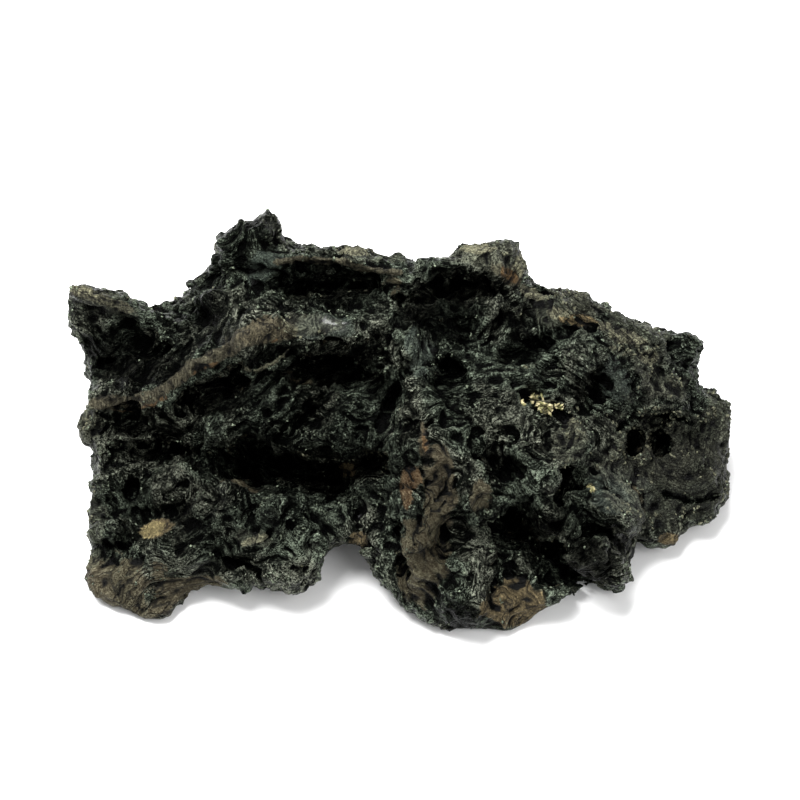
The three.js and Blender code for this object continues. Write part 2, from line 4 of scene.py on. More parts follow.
import bpy
import numpy as np
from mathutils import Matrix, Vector


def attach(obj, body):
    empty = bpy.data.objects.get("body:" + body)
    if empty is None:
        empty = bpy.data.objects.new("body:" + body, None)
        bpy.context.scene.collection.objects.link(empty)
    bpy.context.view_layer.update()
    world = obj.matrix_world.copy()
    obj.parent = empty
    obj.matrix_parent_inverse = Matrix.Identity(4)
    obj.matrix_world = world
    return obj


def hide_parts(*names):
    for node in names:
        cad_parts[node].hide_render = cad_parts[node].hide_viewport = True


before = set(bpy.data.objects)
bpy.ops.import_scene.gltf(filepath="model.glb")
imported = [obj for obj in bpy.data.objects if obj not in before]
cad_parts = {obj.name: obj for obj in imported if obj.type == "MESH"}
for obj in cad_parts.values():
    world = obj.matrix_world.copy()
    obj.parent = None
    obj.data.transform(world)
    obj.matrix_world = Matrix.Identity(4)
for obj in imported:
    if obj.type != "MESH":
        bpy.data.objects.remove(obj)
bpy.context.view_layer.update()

MM = 0.001  # lengths are in millimetres, and in metres for the floor, the lights and the camera

# ---- The show face's own directions: u to the right, v up the face, w out of it ----
SHOW_TILT = math.radians(50)  # how far above the horizon the show face looks
FACE_CENTRE = np.array([-0.06, -10.64, 28.0])  # where u = v = w = 0 lies in the frame
ACROSS = np.array([1.0, 0.0, 0.0])
UP_FACE = np.array([0.0, math.sin(SHOW_TILT), math.cos(SHOW_TILT)])
OUT_OF_FACE = np.array([0.0, -math.cos(SHOW_TILT), math.sin(SHOW_TILT)])

# ---- Mesh fineness ----
FIRST_VOXEL = 0.6  # the coarse surface that carries the lobes and lumps
FINE_VOXEL = 0.38  # the fine surface that carries the flow ridges
WELD_REACH = 0.005
MOST_TRIANGLES = 194_000


# ---- Random fields, worked out for many points at once; another salt gives another field ----
# Large odd factors that send neighbouring cells to numbers far apart.
CELL_FACTORS = np.array([374761393, 668265263, 2246822519], dtype=np.uint32)
SALT_FACTOR = 974634777
STIR_FACTORS = np.array([1274126177, 1103515245], dtype=np.uint32)
ALL_BITS = 0xFFFFFFFF
LOW_BITS = 0xFFFFFF


def cell_random(cells, salt):
    """Numbers from 0 to 1 that belong to whole-numbered cells."""
    x, y, z = (cells[:, axis].astype(np.uint32) * CELL_FACTORS[axis] for axis in range(3))
    mixed = (x ^ y ^ z ^ np.uint32(salt * SALT_FACTOR & ALL_BITS)) * STIR_FACTORS[0]
    mixed = (mixed ^ (mixed >> np.uint32(13))) * STIR_FACTORS[1]
    return ((mixed ^ (mixed >> np.uint32(16))) & np.uint32(LOW_BITS)) / LOW_BITS


SWELL_GAIN = 1.6  # brings the swells up to about -1 to 1
CREST_GAIN = 1.8  # narrows the crags' crests
RIDGE_FIELD = 3.2  # size of the noise whose contours are the ridges, in gaps between ridges
RIDGE_PACE = 13  # radians from one step of that noise to the next
KNOB_GAIN = 1.5  # how quickly a knob falls away from its top
KNOB_CREASE = 0.35  # how far the creases between knobs are cut in
KNOB_CREASE_WIDTH = 0.25


def swell(points, size, salt=0):
    """Smooth noise from about -1 to 1 whose hills are `size` across."""
    at = points / size
    cells = np.floor(at).astype(np.int64)
    inside = at - cells
    ease = inside**3 * (inside * (inside * 6 - 15) + 10)
    total = np.zeros(len(points))
    for corner in np.ndindex(2, 2, 2):
        corner = np.array(corner)
        reach = inside - corner
        share = np.prod(np.where(corner == 1, ease, 1 - ease), axis=1)
        slope = sum(
            (cell_random(cells + corner, salt * 3 + axis) * 2 - 1) * reach[:, axis]
            for axis in range(3)
        )
        total += share * slope
    return total * SWELL_GAIN


def layered_swell(points, size, octaves, salt=0):
    """Noise with finer and finer noise on top of it."""
    total = np.zeros(len(points))
    for octave in range(octaves):
        total += swell(points, size / 2**octave, salt + octave) / 2**octave
    return total


def crags(points, size, octaves, salt=0):
    """Noise with sharp crests, from about 0 to 1."""
    total = np.zeros(len(points))
    for octave in range(octaves):
        crest = 1 - np.abs(swell(points, size / 2**octave, salt + octave)) * CREST_GAIN
        total += np.clip(crest, 0, 1) ** 2 / 2**octave
    return total / (2 - 0.5 ** (octaves - 1))


def curled_ridges(points, apart, salt=0, floor=-1.0):
    """Contorted ridges side by side, about `apart` from one to the next, from `floor` up to 1."""
    field = layered_swell(points, RIDGE_FIELD * apart, 2, salt)
    return np.maximum(np.sin(field * RIDGE_PACE), floor)


def nearest_two(points, size, salt=0):
    """How far the two nearest of the seeds strewn through space are, in cells of `size`."""
    at = points / size
    cells = np.floor(at).astype(np.int64)
    first = np.full(len(points), 9.0)
    second = np.full(len(points), 9.0)
    for step in np.ndindex(3, 3, 3):
        cell = cells + np.array(step) - 1
        square = sum(
            (cell[:, axis] + cell_random(cell, salt * 3 + axis) - at[:, axis]) ** 2
            for axis in range(3)
        )
        second = np.minimum(second, np.maximum(first, square))
        first = np.minimum(first, square)
    return np.sqrt(first), np.sqrt(second)


def shards(points, size, salt=0):
    """Flat faces that meet at sharp steps, each tipped its own way, from about -0.5 to 0.5."""
    at = points / size
    cells = np.floor(at).astype(np.int64)
    nearest = np.full(len(points), 9.0)
    height = np.zeros(len(points))
    for step in np.ndindex(3, 3, 3):
        cell = cells + np.array(step) - 1
        square = np.zeros(len(points))
        tipped = np.zeros(len(points))
        for axis in range(3):
            away = at[:, axis] - cell[:, axis] - cell_random(cell, salt * 3 + axis)
            square += away**2
            tipped += away * (cell_random(cell, salt * 3 + axis + 90) * 2 - 1)
        closer = square < nearest
        nearest = np.where(closer, square, nearest)
        height = np.where(closer, tipped, height)
    return height


def smooth_step(low, high, value):
    """0 below low, 1 above high, smooth between."""
    share = np.clip((value - low) / (high - low), 0, 1)
    return share * share * (3 - 2 * share)


def knobs(points, size, salt=0):
    """Round knobs that crowd together: 1 on a knob's top, 0 and a little under in the creases."""
    first, second = nearest_two(points, size, salt)
    crease = 1 - smooth_step(0, KNOB_CREASE_WIDTH, second - first)
    return np.maximum(1 - first**2 * KNOB_GAIN, 0.1) - KNOB_CREASE * crease


# ---- Where things lie on the show face; its lists give u and v in millimetres ----
def face_coordinates(points):
    """Points of the frame, in millimetres, as u, v and w."""
    from_centre = points - FACE_CENTRE
    return np.stack([from_centre @ ACROSS, from_centre @ UP_FACE, from_centre @ OUT_OF_FACE], axis=1)


# In half widths: a patch starts 0.15 outside its outline and is full 0.45 inside it.
PATCH_EDGE = (-0.15, 0.45)
PATCH_WANDER = 5.0  # size of the bays and tongues of its outline


def patch(face, spots, fray=0.35):
    """How far a point lies inside any of the spots, from 0 to 1.

    A spot is an ellipse: (u, v, half width, half height, turn in degrees).
    """
    u, v = face[:, 0], face[:, 1]
    most = np.full(len(face), -1.0)
    wander = layered_swell(face, PATCH_WANDER, 2, salt=71) * fray
    for spot_u, spot_v, half_width, half_height, turn in spots:
        cos, sin = math.cos(math.radians(turn)), math.sin(math.radians(turn))
        along = ((u - spot_u) * cos + (v - spot_v) * sin) / half_width
        over = ((v - spot_v) * cos - (u - spot_u) * sin) / half_height
        most = np.maximum(most, 1 - np.hypot(along, over) + wander)
    return smooth_step(*PATCH_EDGE, most)


RIBBON_EDGE = (0.5, 1.15)  # a ribbon is full to the first of these half widths and ends at the second
RIBBON_LEFT = 0.75  # distances count for less on a line's left, so a ribbon reaches further there
RIBBON_RIGHT = 1.25
RIBBON_RAGGED = 0.45  # how much its width swells and shrinks


def ribbon(face, line, half_width):
    """1 on a line of (u, v) points; it reaches further to the left of the way that the line runs."""
    at = face[:, :2]
    nearest = np.full(len(face), 99.0)
    for start, end in zip(line, line[1:]):
        start, end = np.array(start), np.array(end)
        along = end - start
        share = np.clip((at - start) @ along / (along @ along), 0, 1)
        away = at - start - share[:, None] * along
        on_left = along[0] * away[:, 1] > along[1] * away[:, 0]
        counted = np.where(on_left, RIBBON_LEFT, RIBBON_RIGHT)
        nearest = np.minimum(nearest, np.hypot(away[:, 0], away[:, 1]) * counted)
    ragged = half_width * (1 + RIBBON_RAGGED * swell(face, 3.0, salt=72))
    return 1 - smooth_step(*RIBBON_EDGE, nearest / ragged)


# Flow lines: at (u, v) they run at this angle in degrees to the u direction.
FLOW = [
    (-58, 18, -12), (-48, 16, -25), (-54, 8, 5), (-40, 26, 35), (-28, 34, 50), (-20, 28, 60),
    (-34, 14, 30), (-12, 20, 5), (-32, 6, 38), (-20, 2, 42), (-8, 2, 66), (-58, -2, 5),
    (-56, -14, 75), (-34, -16, 20), (-22, -20, 48), (-40, -26, -10), (-52, -32, 8),
    (-16, -28, 70), (0, 14, 95), (8, 20, 20), (10, 6, 150), (18, 0, 165), (5, -8, 80), (2, -20, 86),
    (12, -16, 100), (14, -30, 84), (24, -36, 20), (24, 10, 130), (20, 24, 40), (28, -8, 42),
    (36, -14, 60), (40, -24, -20), (32, 6, 110), (36, 22, -20), (48, 14, -30), (44, 4, 100),
    (52, -10, 10), (62, -6, 80), (54, -18, 25), (0, 32, 5), (15, 33, 20),
]
FLOW_REACH = 7.5
# Scrolls, (u, v, half width): here the flow lines are rings.
SCROLLS = [(-44, -12.6, 5.5), (-42, 22.4, 4), (-22, 27, 3.2), (-51, -3, 4.5), (14, 21, 4), (30, -4, 4)]
DRAWN_OUT = 0.45  # along the flow lines everything is 1 / this longer than across them
DEPTH_SHARE = 0.5  # lengths out of the face count for this much
FLOW_LEAN = 0.4  # how far the flow lines lean over as they run into the lump
SCROLL_PULL = 4  # how much more a scroll counts than a flow line
SCROLL_LENGTH = 0.6  # how far a scroll's rings are drawn out
# Bends in the flow lines: how far, over what size, and salt.
ACROSS_BENDS = [(2.4, 9.0, 61), (0.8, 3.5, 62)]
ALONG_BENDS = [(2.0, 8.0, 63)]


def bent(values, points, bends):
    """The values with each of the bends added."""
    for far, size, salt in bends:
        values = values + far * swell(points, size, salt)
    return values


def flow_place(face):
    """Places counted across, along and out of the flow lines, with the lengths drawn in."""
    u, v, w = face.T
    across = np.zeros(len(face))
    along = np.zeros(len(face))
    weights = np.full(len(face), 1e-9)
    for at_u, at_v, angle in FLOW:
        cos, sin = math.cos(math.radians(angle)), math.sin(math.radians(angle))
        weight = np.exp(-((u - at_u) ** 2 + (v - at_v) ** 2) / (2 * FLOW_REACH**2))
        across += weight * ((v - at_v) * cos - (u - at_u) * sin + FLOW_LEAN * w)
        along += weight * ((u - at_u) * cos + (v - at_v) * sin)
        weights += weight
    for at_u, at_v, half_width in SCROLLS:
        away = np.hypot(u - at_u, v - at_v)
        weight = SCROLL_PULL * np.exp(-((away / half_width) ** 2))
        across += weight * (away + FLOW_LEAN * w)
        along += weight * np.arctan2(v - at_v, u - at_u) * half_width * SCROLL_LENGTH
        weights += weight
    across = bent(across / weights, face, ACROSS_BENDS)
    along = bent(along / weights, face, ALONG_BENDS)
    return np.stack([across, along * DRAWN_OUT, w * DEPTH_SHARE], axis=1)


# ---- The lump's relief: where each kind of surface lies on the show face ----
# Thin broken rims of the ledges: half their height on the face, and the line that they follow.
BROWN_RIMS = [
    (1.6, [
        (-60, 3.8), (-54, 4), (-48, 5), (-44, 8), (-40, 11.4), (-35, 13.4), (-30, 16), (-24, 17.4)]),
    (2.1, [(-33, 14.6), (-28, 17.6), (-23, 18.4)]),
    (1.2, [(-65, 26.2), (-59, 24.6), (-54, 22.6)]),
    (0.7, [(-24, 31.6), (-20, 32.2), (-11, 31.8), (-8, 30.4), (0, 29.6)]),
]
SMOOTH_SPOTS = [
    (53, -14, 12, 8, 0), (-12, 20, 10, 4, 0), (-62, 24, 6, 4, 0), (50, 4, 6, 4, 0),
    (-47.8, -20.4, 5, 3.6, 0), (-28, -22, 4, 3, 0), (24, -34, 6, 5, 0),
    (-53, -34, 12, 8, 10), (-42, -26, 14, 5, -5), (21.5, -1.2, 3.5, 3, 0),
]
KNOBBY_SPOTS = [
    (-44, -12, 8, 6, 0), (12, 22, 14, 6, 0), (26, 6, 12, 12, 0), (-30, 30, 14, 8, 0),
    (38, 20, 14, 6, -15), (12, -28, 8, 10, 0), (36, -20, 8, 8, 0), (-2, 33, 12, 3, 0),
]
LAYERED_SPOTS = [(6, -14, 7, 14, 0), (-62, 26, 6, 3, 0)]
CRUMBLY_SPOTS = [(56, -6, 14, 18, 0), (44, 14, 12, 8, -15)]
PITS = [(46.2, -3.8, 1.7, 2.8, 0), (51.9, -4.2, 1.9, 2.3, 0), (-52.9, -12.7, 1.5, 2.0, 20)]
PIT_DEPTH = 2.6
# Where the lump stands out further or less far than its plain form: millimetres, and where.
SWELLS = [
    (1.5, (52, -22.8, 7, 2.4, 18)), (1.4, (-49.5, -38.5, 8, 2.6, 10)),
    (1.7, (-33, 37.6, 5, 3.2, 25)), (1.3, (-25.6, 39.2, 3, 3.6, -60)), (0.9, (59.6, 13, 1.8, 4.5, 0)),
    (-1.3, (-41, 31, 8, 2.8, 52)), (-0.7, (-49, 23.4, 3, 1.8, 0)), (-0.8, (6, 33.6, 6, 1.8, 0)),
    (-0.8, (-9, -28, 4, 2.4, -35)), (-0.8, (46, -31, 2.4, 3, 0)),
]
SUNK = 0.5  # the relief stands on a surface this far inside the plain form, so its crests reach it
# Creases between one lobe and the next: (u, v) points.
CREASES = [
    [(-62, -24.4), (-54.6, -23.6), (-50.6, -21.6), (-44.6, -17.6), (-40, -15.6)],
    [(-38.6, -15), (-36.6, -20.4), (-35.4, -26), (-30, -27), (-28, -28.4), (-26, -32)],
    [(-28, -24.4), (-22, -17), (-20, -15), (-16.6, -19.6), (-14.6, -25)],
    [(-57.4, -6.6), (-53, -9), (-50, -10), (-50.6, -16), (-54, -19)],
    [(-14, -4), (-9, -8), (-7, -14), (-9.4, -19)],
    [(16, -12.6), (22, -13.8), (28, -14.6), (32, -10.4), (35, -6)],
    [(0, 14), (1.6, 4), (0, -4)],
    [(40, -12), (44, -14.6), (51, -13.6), (57, -15.4), (63, -14.4)],
    [(43, -1), (47, 1.4), (53, 1.6), (58, 0)],
]
CREASE_WIDTH = 0.55
CREASE_DEPTH = 0.9
# Sheets that hang in close folds, which run at this angle to the u direction.
FOLDED_SPOTS = [(-24, 5, 20, 9, 20), (-46, 16, 8, 3, 0)]
FOLD_ANGLE = math.radians(42)
EDGE_DROP = 1.3  # the main rim's rusty lower edge runs this far below its middle
RUSTY_EDGE_WIDTH = 0.55
# A thin pale seam under the right end of the main rim: (u, v) points.
PALE_SEAM = [(-31, 11.6), (-29.4, 10.5), (-27.6, 10.3), (-25, 11.8), (-23, 12.8), (-21.6, 14.4)]
PALE_SEAM_WIDTH = 0.36

# ---- The relief's sizes and heights ----
LOBES = [(0.42, 3.6, 12), (0.28, 2.2, 15)]  # height, distance apart and salt, on the show face
HIDDEN_LOBES = (0.5, 4.5, 16)  # the same on the sides that turn away from it
TROUGH = -0.3  # how low the ground between lobes goes, as a share of their height
LUMP_SIZE = 4.2
LUMP_HEIGHT = 0.1
KNOBBY_HEIGHT = 0.3  # this much more in the knobby spots
LUMP_DRIFT = 1.2  # how far lumps are pushed out of line
CRAG_SIZE = 7.0
CRAG_HEIGHT = 0.4
SHARD_SIZE = 4.5
SHARD_HEIGHT = 1.5
SHOWN_SHARDS_CUT = 0.75  # shards are this much lower on the show face
LAYERED_SHARDS_CUT = 0.4  # and this much lower again in layered spots
SHARDS_FULL = (2, 10)  # heights above the table between which shards grow from half to full height
FOLD_SIZE = 3.4
FOLD_HEIGHT = 1.8
FOLD_LEVEL = 0.45  # folds are measured from this share of their height
# Shares of the coarse relief that are left off: the lobes' in layered and crumbly spots, and all of
# it in folded and smooth spots and on rims.
COARSE_OFF = {"lobes": 0.6, "folded": 0.8, "smooth": 0.6, "rim": 0.85}

RIDGE_SIZE = 1.5
RIDGE_HEIGHT = 0.26
STRAND_SIZE = 1.1
STRAND_HEIGHT = 0.12
LAYERED_STRANDS = 0.35  # this much higher in layered spots
SMALL_KNOB_SIZE = 1.9
SMALL_KNOB_HEIGHT = 0.22
GRIT_SIZE = 1.5
GRIT_HEIGHT = 0.5
SHOWN_GRIT_CUT = 0.25  # grit is this much lower on the show face
CRUMBLY_GRIT = 0.6  # and this much higher in crumbly spots
CHIP_SIZE = 1.6
CHIP_HEIGHT = 0.5
CRUMBLY_CHIPS = 0.3  # this much higher in crumbly spots
HIDDEN_CHIP_SIZE = 1.9
HIDDEN_CHIPS = 0.6  # chips on the sides that turn away, as a share of those on the show face
SMALL_FOLD_SIZE = 1.7
SMALL_FOLD_HEIGHT = 0.9
FIBRE_SIZE = 1.3
FIBRE_HEIGHT = 0.25
KNOB_LEVEL = 0.4  # knobs, lumps and fibres are measured from this share of their height
# Shares of the fine relief that are left off, as for the coarse relief.
FINE_OFF = {"ridges": 0.85, "folded": 0.7, "smooth": 0.45, "rim": 0.75}


def rim_share(face):
    """1 on the ledges' thin broken rims."""
    return np.max([ribbon(face, line, width) for width, line in BROWN_RIMS], axis=0)


def with_gaps(face, salt):
    """1 over most of the face, and 0 in gaps a few millimetres long."""
    return smooth_step(-0.3, 0.1, swell(face, 6.0, salt))


def rusty_edge(face):
    """1 on the lower edge of the main rim, broken in places."""
    line = [(u, v - EDGE_DROP) for u, v in BROWN_RIMS[0][1]]
    return ribbon(face, line, RUSTY_EDGE_WIDTH) * with_gaps(face, 73)


def crease_share(face):
    """1 along the creases between the lobes, broken in places."""
    creases = [ribbon(face, line, CREASE_WIDTH) for line in CREASES]
    return np.max(creases, axis=0) * with_gaps(face, 74)


def folds(face, size, salt):
    """Sharp-crested folds, about `size` apart and several times as long."""
    u, v, w = face.T
    across = v * math.cos(FOLD_ANGLE) - u * math.sin(FOLD_ANGLE)
    along = u * math.cos(FOLD_ANGLE) + v * math.sin(FOLD_ANGLE)
    return crags(np.stack([across, along * 0.2, w * 0.3], axis=1), size, 2, salt) - FOLD_LEVEL


def coarse_relief(points, shown):
    """Lobes, lumps, crags, shards and folds, then swells, pits and creases: millimetres outwards.

    Forms are drawn out along an axis of the points that is multiplied by less than the others.
    """
    face = face_coordinates(points)
    flow = flow_place(face)
    layered = patch(face, LAYERED_SPOTS) * shown
    folded = patch(face, FOLDED_SPOTS) * shown
    plainer = np.maximum(layered, patch(face, CRUMBLY_SPOTS))
    lobes = sum(high * curled_ridges(flow, apart, salt, TROUGH) for high, apart, salt in LOBES) * shown
    high, apart, salt = HIDDEN_LOBES
    lobes += high * curled_ridges(points * [0.7, 1, 1], apart, salt, TROUGH) * (1 - shown)
    drifted = points + LUMP_DRIFT * swell(points, 5.0, salt=14)[:, None]
    lumps = knobs(drifted, LUMP_SIZE, salt=11) - KNOB_LEVEL
    lump_height = LUMP_HEIGHT + KNOBBY_HEIGHT * patch(face, KNOBBY_SPOTS)
    shard_height = SHARD_HEIGHT - SHOWN_SHARDS_CUT * shown - LAYERED_SHARDS_CUT * layered
    shard_height = shard_height * (0.5 + 0.5 * smooth_step(*SHARDS_FULL, points[:, 2]))
    height = lobes * (1 - COARSE_OFF["lobes"] * plainer) + lump_height * lumps * (1 - layered)
    height += CRAG_HEIGHT * layered_swell(points * [1, 1.3, 1.3], CRAG_SIZE, 3, salt=21)
    height += shard_height * shards(points * [1, 1.2, 1.2], SHARD_SIZE, salt=31)
    big_folds = FOLD_HEIGHT * folds(face, FOLD_SIZE, salt=35)
    height = height * (1 - COARSE_OFF["folded"] * folded) + big_folds * folded
    smooth = COARSE_OFF["smooth"] * patch(face, SMOOTH_SPOTS)
    height = height * (1 - np.maximum(smooth, COARSE_OFF["rim"] * rim_share(face)))
    height += sum(amount * patch(face, [spot], fray=0.1) for amount, spot in SWELLS) - SUNK
    cut = PIT_DEPTH * patch(face, PITS, fray=0.15) + CREASE_DEPTH * crease_share(face)
    return height - cut * shown


def fine_relief(points, shown):
    """Flow ridges, strands, small knobs, grit, chips, small folds and fibres: millimetres outwards."""
    face = face_coordinates(points)
    flow = flow_place(face)
    layered = patch(face, LAYERED_SPOTS)
    crumbly = patch(face, CRUMBLY_SPOTS)
    folded = patch(face, FOLDED_SPOTS) * shown
    rim = rim_share(face)
    ridges = RIDGE_HEIGHT * curled_ridges(flow, RIDGE_SIZE, salt=41)
    strand_height = STRAND_HEIGHT + LAYERED_STRANDS * layered
    strands = strand_height * curled_ridges(flow * [1, 0.5, 1], STRAND_SIZE, salt=42)
    plainer = np.maximum(crumbly, layered)
    streaks = (ridges * (1 - FINE_OFF["ridges"] * plainer) + strands) * shown
    small_knobs = SMALL_KNOB_HEIGHT * (knobs(points, SMALL_KNOB_SIZE, salt=44) - KNOB_LEVEL)
    grit = 0.5 * layered_swell(points, GRIT_SIZE, 2, salt=45)
    grit_height = GRIT_HEIGHT - SHOWN_GRIT_CUT * shown + CRUMBLY_GRIT * crumbly
    chips = shards(flow * [1, 0.8, 1.6], CHIP_SIZE, salt=46) * shown
    chips = chips + HIDDEN_CHIPS * shards(points, HIDDEN_CHIP_SIZE, salt=47) * (1 - shown)
    chip_height = CHIP_HEIGHT + CRUMBLY_CHIPS * crumbly
    height = streaks + (small_knobs + grit_height * grit + chip_height * chips)
    small_folds = SMALL_FOLD_HEIGHT * folds(face, SMALL_FOLD_SIZE, salt=36)
    height = height * (1 - FINE_OFF["folded"] * folded) + small_folds * folded
    fibres = FIBRE_HEIGHT * (crags(points * [1, 0.22, 0.22], FIBRE_SIZE, 1, salt=48) - KNOB_LEVEL)
    smooth = FINE_OFF["smooth"] * patch(face, SMOOTH_SPOTS)
    height = height * (1 - np.maximum(smooth, FINE_OFF["rim"] * rim))
    return height + fibres * rim * shown


def mesh_points(mesh):
    """A mesh's points, in millimetres."""
    points = np.empty(len(mesh.vertices) * 3)
    mesh.vertices.foreach_get("co", points)
    return points.reshape(-1, 3) / MM


def mesh_normals(mesh):
    """The way outwards at each of a mesh's points."""
    normals = np.empty(len(mesh.vertices) * 3)
    mesh.vertex_normals.foreach_get("vector", normals)
    return normals.reshape(-1, 3)


TEARS = [(0.8, 4.2, 51), (0.45, 2.1, 55)]  # how far, over what size, and salt


def torn(points):
    """Shifts in all directions, in millimetres, that make rims and hollows ragged."""
    return np.stack([
        sum(far * swell(points, size, salt + axis) for far, size, salt in TEARS)
        for axis in range(3)
    ], axis=1)


def facing_share(normals):
    """1 where the surface faces out of the show face, 0 where it turns away."""
    return smooth_step(-0.3, 0.15, normals @ OUT_OF_FACE)


GRID_CELL = 1.5
GRID_CELLS = 128  # cells on each side of a grid that covers the show face with room to spare
COVERED = (-6, -3)  # so far behind what lies in front of it a point is hidden, and so far in sight


def on_top(face):
    """1 on what lies nearest the viewer of the show face, 0 on what is hidden behind it."""
    cells = np.floor(face[:, :2] / GRID_CELL).astype(np.int64) + GRID_CELLS // 2
    nearest = np.full((GRID_CELLS, GRID_CELLS), -99.0)
    np.maximum.at(nearest, (cells[:, 0], cells[:, 1]), face[:, 2])
    return smooth_step(*COVERED, face[:, 2] - nearest[cells[:, 0], cells[:, 1]])


NEAR_TABLE = (0.2, 3.0)  # heights between which the relief grows from nothing to all of it


def push_out(mesh, relief, shift=np.zeros_like):
    """Moves a mesh's points by the relief and the shift, less and less towards the table."""
    points = mesh_points(mesh)
    above_table = smooth_step(*NEAR_TABLE, points[:, 2])
    normals = mesh_normals(mesh)
    outwards = relief(points, facing_share(normals))
    points += (normals * outwards[:, None] + shift(points)) * above_table[:, None]
    points[:, 2] = np.maximum(points[:, 2], 0)
    mesh.vertices.foreach_set("co", (points * MM).ravel())
    mesh.update()


def with_modifiers(mesh, *steps):
    """A mesh after modifiers, each given as (kind, settings)."""
    carrier = bpy.data.objects.new("shaping", mesh)
    bpy.context.collection.objects.link(carrier)
    for kind, settings in steps:
        modifier = carrier.modifiers.new(kind.lower(), kind)
        for setting, value in settings.items():
            setattr(modifier, setting, value)
    evaluated = carrier.evaluated_get(bpy.context.evaluated_depsgraph_get())
    shaped = bpy.data.meshes.new_from_object(evaluated)
    bpy.data.objects.remove(carrier)
    return shaped


def remesh(voxel):
    """The modifier that gives a mesh an even net of faces about `voxel` across."""
    return "REMESH", {"mode": "VOXEL", "voxel_size": voxel * MM, "use_smooth_shade": True}


def merged_copy(node):
    """The CAD node's surface as one joined mesh."""
    mesh = bpy.data.meshes.new_from_object(node)
    return with_modifiers(mesh, ("WELD", {"merge_threshold": WELD_REACH * MM}))


def thinned(mesh, most):
    """The mesh with at most so many triangles."""
    triangles = sum(len(polygon.vertices) - 2 for polygon in mesh.polygons)
    settings = {"ratio": min(1, most / triangles), "use_collapse_triangulate": True}
    return with_modifiers(mesh, ("DECIMATE", settings))


def eased(rounds):
    """The modifier that smooths a mesh so many times over."""
    return "SMOOTH", {"factor": 0.5, "iterations": rounds}


def shape_lump(node):
    """The CAD node's form with the coarse and then the fine relief on it."""
    mesh = with_modifiers(merged_copy(node), remesh(FIRST_VOXEL), eased(3))
    push_out(mesh, coarse_relief, torn)
    mesh = with_modifiers(mesh, remesh(FINE_VOXEL), eased(1))
    push_out(mesh, fine_relief)
    mesh = thinned(mesh, MOST_TRIANGLES)
    mesh.shade_smooth()
    return mesh


lump = bpy.data.objects.new("rough_goethite", shape_lump(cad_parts["goethite"]))
bpy.context.collection.objects.link(lump)

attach(lump, "root")
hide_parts("goethite")

# ---- Colours: where each lies on the show face ----
BROWN_SPOTS = [
    (-55, -32, 11, 8, -10), (-42, -32, 10, 3.4, 10), (-26, 18, 6.5, 3, 10), (7.5, -12, 4, 10, 0),
    (4.6, -3, 1.6, 4, 0), (15.6, -13.4, 3, 4, 0), (4, -26, 6, 10, 0), (21, 29.6, 3.6, 2.8, 0),
    (-1.6, 27.4, 2.6, 3, 0), (35.4, 20.4, 4, 1.6, 0),
]
TAN_SPOTS = [
    (-47.2, -20.2, 3.8, 2.2, 28),
    (22, -34.6, 7.5, 6, 15), (-8, -22.6, 2.4, 2, 0), (-10.4, -8.8, 2.4, 2.4, 0), (52.4, -22.4, 3, 1.6, 0),
    (35.4, 20.4, 4.5, 1.4, 0),
]
ORANGE_SPOTS = [
    (2.2, -10.4, 2.6, 2.6, 0), (1.4, -13.4, 1.6, 3.4, 10), (21.4, 29.6, 2.4, 1.4, -40),
    (4.8, -3, 1.2, 3, 0),
]
OLIVE_SPOTS = [
    (-6, 33.6, 9, 2.6, 0), (18, 34, 8, 3.4, 0), (33, 23.4, 10, 6, 0), (46, 17.6, 9, 5, -15),
    (48.6, 12, 4, 3.6, 0), (52.4, 7.6, 6, 3, 0), (54, -9, 16, 15, 0), (63.4, -3, 5, 14, 0),
    (20, 32, 7, 3.6, 0), (-59, 25, 8, 2.6, -25),
    (-62.4, 0, 5, 4, 0), (-60, -21, 4, 8, 0), (-28.6, -22, 4.4, 2.4, 0), (-18, 19.6, 7, 2.4, 0),
    (33, -3.4, 4, 6, 0),
]
TEAL_SPOTS = [
    (42, 9, 4, 4.6, 0), (43, -13, 8, 5, 0), (-14, 19, 7, 3, 0), (4, 16, 4, 8, 0),
    (-26, 31, 6, 3, 40),
]
STRAW_SPOTS = [
    (15, 34.8, 5, 1.6, 0), (24, 32.4, 1.8, 3, 0), (26.4, 25.8, 3, 1.6, -30), (31.4, 21.6, 3, 1.3, -20),
    (45, 17.2, 5, 1.8, -15), (49, 13.2, 2.4, 1.6, 0), (40, 19.4, 2.4, 1.2, 0), (-9, 34, 5, 1.2, 0),
    (-62, 26.4, 5, 1.2, -20), (49.2, -3.6, 0.7, 2.2, 0), (28.8, 3.6, 3.0, 1.8, -20),
    (-28.2, -22.2, 3.8, 1.2, 22),
]
OCHRE_SPOTS = [(-47.8, -20.5, 3.1, 1.7, 28)]
CREAM_SPOTS = [
    (26.4, 5.0, 1.4, 1.2, -40), (28.2, 3.0, 2.0, 1.3, -40), (30.2, 3.4, 1.5, 0.9, 10),
    (24.2, 4.2, 0.6, 0.5, 0), (36.6, -11.8, 0.8, 0.5, -20), (37.4, -13, 0.5, 0.7, 0),
]

# Painted shade: deep places and places under overhangs, coloured all but black.
PAINTED_SHADE_SPOTS = [
    (-20, -8, 22, 7.5, 0), (-13, 11.5, 11, 5, 8), (-13, 27, 14, 5, 0),
    (12.5, 27.4, 8.5, 3.4, 0), (-33, 4.6, 9, 3, 20), (8, 21, 9, 6, 0), (9.5, 10, 4, 5, 0),
    (24.5, 15, 6, 4, 0), (36.5, 7, 3, 3.6, 30),
    (25, -19.5, 8, 6, -15), (36, -27, 6, 6, 0), (12, -37, 5, 5, 0), (-57, 14, 8, 6, 0),
    (-51, 11, 9, 4, 0), (-48, -1, 11, 2, 0), (-43, -6, 10, 1.6, 0), (20, -8, 5, 3, 30),
    (-52.5, -12.6, 3.5, 2.6, 0), (-2.5, 7, 4, 4, 0), (46.2, -3.8, 1.8, 2.8, 0), (52, -4.2, 2, 2.4, 0),
    (-38, 23, 5, 3.4, 0), (-26, 12.8, 6, 2.2, 20), (-52, 13, 8, 4.5, 0),
]
